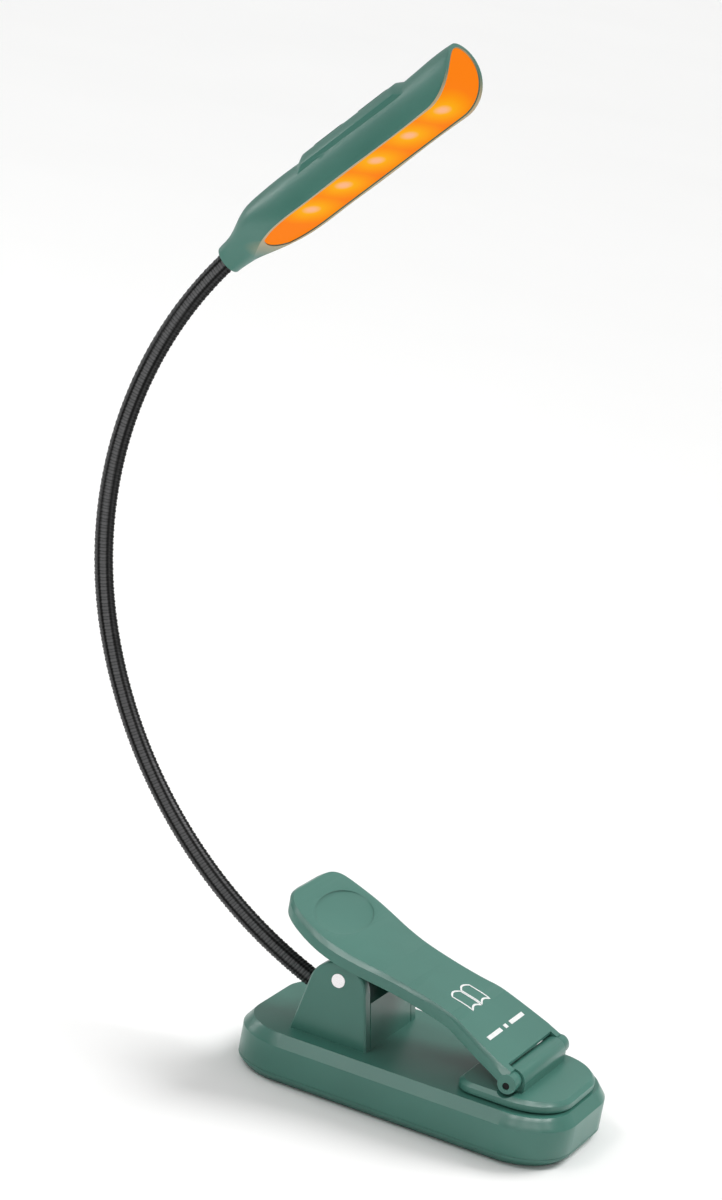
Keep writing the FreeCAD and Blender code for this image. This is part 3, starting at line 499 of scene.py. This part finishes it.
def painted_sheen_at(across, station):
    """How light the neck is painted there: its painted reflection bands, and a painted glint low on its right
    side.
    """
    glint = 0.55 * max(0.0, 1 - abs(across - 0.66) / 0.14) * max(0.0, 1 - abs(station - 3.2) / 2.6)
    for (low, low_value), (high, high_value) in zip(SHEEN[:-1], SHEEN[1:]):
        if across <= high:
            share = min(max((across - low) / (high - low), 0.0), 1.0)
            return low_value + (high_value - low_value) * share + glint
    return SHEEN[-1][1]


def neck_piece(index, material):
    """The coil over one segment, from its lower joint to its upper one. Both ends close
    with half a ball on the joint's own centre, so no gap opens when the joint turns."""
    turns_per_station, rings_per_turn, sides, cap = 10.5, 12, 40, 8
    ball = NECK_RADIUS - RIB_DEPTH * 0.6 * MM
    rings = round(turns_per_station * rings_per_turn)
    vertices, painted_sheens = [], []
    for ring in range(-cap, rings + 1 + cap):
        part = min(max(ring, 0), rings) / rings
        point, way, out = neck_at(index + part)
        beyond = ring if ring < 0 else max(0, ring - rings)
        lift = 0.5 * math.pi * beyond / (cap + 0.2)
        side_way = way.cross(out)
        flank = way.cross(FRONT_WAY).normalized()
        for side in range(sides):
            turn = 2 * math.pi * side / sides
            spoke = out * math.cos(turn) + side_way * math.sin(turn)
            drop = rib_drop((index + part) * turns_per_station + side / sides)
            reach = ball * math.cos(lift) if beyond else NECK_RADIUS - drop * MM
            vertices.append(point + spoke * reach + way * (ball * math.sin(lift)))
            # Painted shade: each painted sheen value is made darker down in the grooves between the turns.
            painted_sheens.append(painted_sheen_at(spoke.dot(flank), index + part) * (1 - 0.8 * (drop / RIB_DEPTH) ** 2))
    piece = add_mesh("neck_coil_%02d" % (index + 1), vertices,
                     ring_faces(rings + 1 + 2 * cap, sides), material)
    piece.data.attributes.new("sheen", "FLOAT", "POINT").data.foreach_set("value", painted_sheens)
    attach(piece, "neck_%02d" % (index + 1))
    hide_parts("neck_segment_%02d" % (index + 1))


# ------------------------------------------------------------------ clip

def clip_spring(material):
    """The torsion spring, one wire: a low leg over the neck's block, a close coil, and a high leg under the
    lever."""
    pivot = Vector(JOINTS["lever_pivot"]["pos_m"])
    low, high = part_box("clip_spring")
    wire, coil, turns = 0.42 * MM, 2.45 * MM, 6
    half = (high.y - low.y) / 2 - wire
    slope = math.radians(33)
    low_leg = (6.3, 4.0, 2.0, 0.8)
    points = [Vector((pivot.x - back * MM, -half, pivot.z - coil)) for back in low_leg]
    first, last = -math.pi / 2, math.pi / 2 - slope + turns * 2 * math.pi
    steps = 30 * turns
    for step in range(steps + 1):
        turn = first + (last - first) * step / steps
        points.append(Vector((pivot.x + coil * math.cos(turn), -half + 2 * half * step / steps,
                              pivot.z + coil * math.sin(turn))))
    high_leg = (0.8, 3.0, 6.0, 9.2)
    along = Vector((-math.cos(slope), 0, math.sin(slope)))
    points += [points[-1] + along * out * MM for out in high_leg]
    piece = wire_piece("spring_wire", points, wire, material)
    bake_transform(piece)
    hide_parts("clip_spring")


def on_lever(tree, x, y, lift):
    """A point just above the lever's top at a place seen from above."""
    hit = tree.ray_cast(Vector((x * MM, y * MM, 0.06)), Vector((0, 0, -1)))[0]
    return hit + Vector((0, 0, lift))


def ribbon(name, tree, outline, width, material, closed=False):
    """A printed line on the lever: a thin raised band along an outline."""
    points = list(outline)
    if closed:
        points.append(points[0])
    lift = thickness = 0.04 * MM
    vertices, faces = [], []
    for index, point in enumerate(points):
        if closed:
            before, after = points[(index - 1) % (len(points) - 1)], points[(index + 1) % (len(points) - 1)]
            if index == len(points) - 1:
                before, after = points[-2], points[1]
        else:
            before, after = points[max(index - 1, 0)], points[min(index + 1, len(points) - 1)]
        way = Vector((after[0] - before[0], after[1] - before[1]))
        way.normalize()
        across = Vector((-way.y, way.x)) * width / 2
        for side in (-1, 1):
            vertices.append(on_lever(tree, point[0] + side * across.x, point[1] + side * across.y, lift))
        if index:
            last = len(vertices)
            faces.append((last - 4, last - 3, last - 1, last - 2))
    piece = add_mesh(name, vertices, faces, material, smooth=False)
    skin = piece.modifiers.new("ink", "SOLIDIFY")
    skin.thickness, skin.offset = thickness, 0.0
    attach(piece, "lever")


def line(a, b, steps=8):
    """Points along a straight line, close enough to follow the lever's curve."""
    return [(a[0] + (b[0] - a[0]) * i / steps, a[1] + (b[1] - a[1]) * i / steps) for i in range(steps + 1)]


def printed_mark(material):
    """A plain open-book mark and a dash, dot, dash line, in white ink."""
    lever = NODES["lever"]
    tree = BVHTree.FromPolygons([vertex.co for vertex in lever.data.vertices],
                                [polygon.vertices for polygon in lever.data.polygons])
    middle, spread, depth = 7.6, 4.2, 2.5
    for side in (-1, 1):
        page = line((middle - depth, 0.28 * side), (middle + depth, 0.28 * side))
        lower = [(middle + depth - 0.75 * math.sin(math.pi * k / 10), side * (0.28 + spread * k / 10))
                 for k in range(1, 11)]
        upper = [(x - 2 * depth, y) for x, y in lower[::-1]]
        outline = page + lower + line(lower[-1], upper[0])[1:] + upper[1:]
        ribbon("mark_page_%s" % ("left" if side > 0 else "right"), tree, outline, 0.42, material, closed=True)
    row = 16.2
    for name, low, high in (("mark_dash_left", 2.4, 9.4), ("mark_dot", -0.7, 0.7),
                            ("mark_dash_right", -9.4, -2.4)):
        ribbon(name, tree, line((row, low), (row, high), 12), 0.9, material)


# ------------------------------------------------------------------ CAD pieces

def head_ways():
    """Along the head, across it to its near side, and the way its lens faces."""
    vertices = [vertex.co for vertex in NODES["leds"].data.vertices]
    start = NECK_POINTS[-1]
    inward = Vector(JOINTS["power_button_press"]["axis"]).normalized()
    along = max(vertices, key=lambda vertex: (vertex - start).length) - start
    along = (along - inward * along.dot(inward)).normalized()
    near = inward.cross(along).normalized()
    return along, (near if near.y < 0 else -near), inward


def glow_centres(along, near, inward):
    """The middle of each light's glow on the diffuser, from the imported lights' mesh."""
    groups, last = [], None
    for vertex in sorted((vertex.co.copy() for vertex in NODES["leds"].data.vertices),
                         key=lambda vertex: vertex.dot(along)):
        reach = vertex.dot(along)
        if last is None or reach - last > 3.0 * MM:
            groups.append([])
        groups[-1].append(vertex)
        last = reach
    return [sum(group, Vector()) / len(group) + (inward + near) * 1.8 * MM for group in groups]


def dress(nodes, material, soften=0.0):
    """Give CAD nodes a material, and soften their sharp edges by a radius in mm."""
    for name in nodes:
        piece = NODES[name]
        piece.data.materials.clear()
        piece.data.materials.append(material)
        if soften:
            weld = piece.modifiers.new("weld", "WELD")
            weld.merge_threshold = 0.002 * MM
            bevel = piece.modifiers.new("soft_edges", "BEVEL")
            bevel.width, bevel.segments, bevel.limit_method = soften * MM, 3, "ANGLE"
            bevel.angle_limit = math.radians(32)
            bevel.harden_normals = True


def dress_all():
    """Every CAD node's material. The moulded pieces and the pins get softened edges."""
    green, lever_green = (0.052, 0.178, 0.140), (0.058, 0.192, 0.152)
    soft, soft_pin = 0.07, 0.1
    dress(["base_shell"], plastic("shell_plastic", green, 0.30), soft)
    dress(["base_cover"], plastic("cover_plastic", shade(green, 0.92)[:3], 0.4), soft)
    dress(["lever", "jaw_pad"], plastic("lever_plastic", lever_green, 0.32), soft)
    dress(["power_button", "colour_button"], plastic("button_plastic", shade(green, 0.8)[:3], 0.42), soft)
    dress(["foot_pad", "jaw_facing"], rubber("black_rubber", (0.028, 0.028, 0.030)))
    dress(["pivot_pin"], metal("pin_metal", (0.86, 0.84, 0.85), 0.28), soft_pin)
    dress(["jaw_pin"], metal("dark_pin_metal", (0.02, 0.02, 0.02), 0.35), soft_pin)
    dress(["base_ferrule", "head_ferrule"], metal("ferrule_metal", (0.40, 0.40, 0.41), 0.35))
    dress(["cover_screws"], metal("screw_metal", (0.42, 0.42, 0.43), 0.32))
    dress(["usb_socket"], metal("socket_metal", (0.62, 0.62, 0.64), 0.25))
    dress(["charge_board", "control_board"], circuit("green_board", (0.02, 0.13, 0.05)))
    dress(["led_board"], circuit("white_board", (0.75, 0.75, 0.73)))
    dress(["board_chips", "tact_switches"], plastic("chip_plastic", (0.02, 0.02, 0.02), 0.45))
    dress(["battery"], foil())
    dress(["charge_light"], light_pipe())
    along, near, inward = head_ways()
    head_plastic = plastic("head_plastic", green, 0.36)
    # The head shell gets a painted glow of the lens's light round the lens.
    dress(["head_shell"], painted_lens_glow(head_plastic, NECK_POINTS[-1].dot(along), along, inward), soft)
    dress(["head_lens", "leds"], lit_amber(glow_centres(along, near, inward), near))


set_camera()
set_sky()
set_lights()
set_floor()
dress_all()
black = coil_black()
for place in range(2 * HALF):
    neck_piece(place, black)
clip_spring(metal("spring_metal", (0.55, 0.55, 0.57), 0.25))
printed_mark(printed_white())
